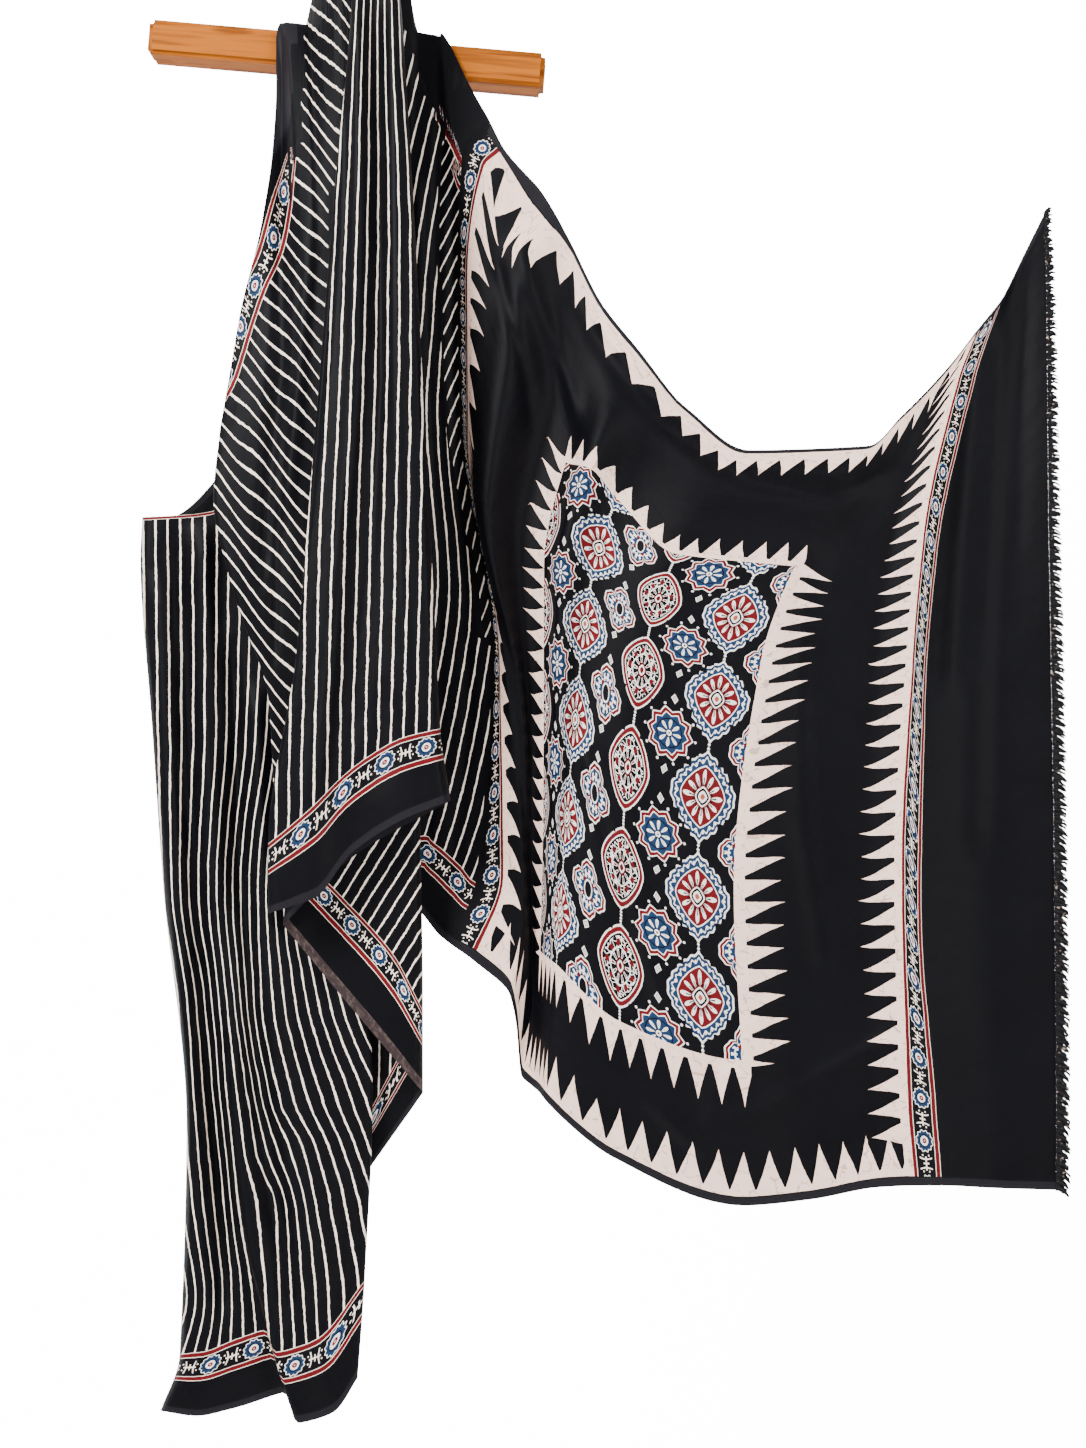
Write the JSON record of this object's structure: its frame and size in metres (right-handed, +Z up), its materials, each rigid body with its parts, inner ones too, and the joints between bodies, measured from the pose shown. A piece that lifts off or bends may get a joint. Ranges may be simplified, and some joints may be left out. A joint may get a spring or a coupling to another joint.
{
  "type": "block-printed ajrakh saree cloth on a wooden bar",
  "caption": "Long block-printed ajrakh saree cloth gathered and pleated over a short wooden bar, its fringed end panel drawn out to the right.",
  "frame": {"origin": "middle of the bar's flat back face, where a wall or frame holds it", "axes": "+X to the viewer's right, +Y away from the viewer into the wall, +Z up"},
  "size_m": [1.0738, 0.1807, 1.6951],
  "materials": {
    "printed_cloth": "soft satin",
    "end_fringe": "matte",
    "wooden_bar": "satin varnish"
  },
  "bodies": {
    "root": {"printed_cloth": "printed_cloth", "end_fringe": "end_fringe", "wooden_bar": "wooden_bar"}
  },
  "joints": []
}
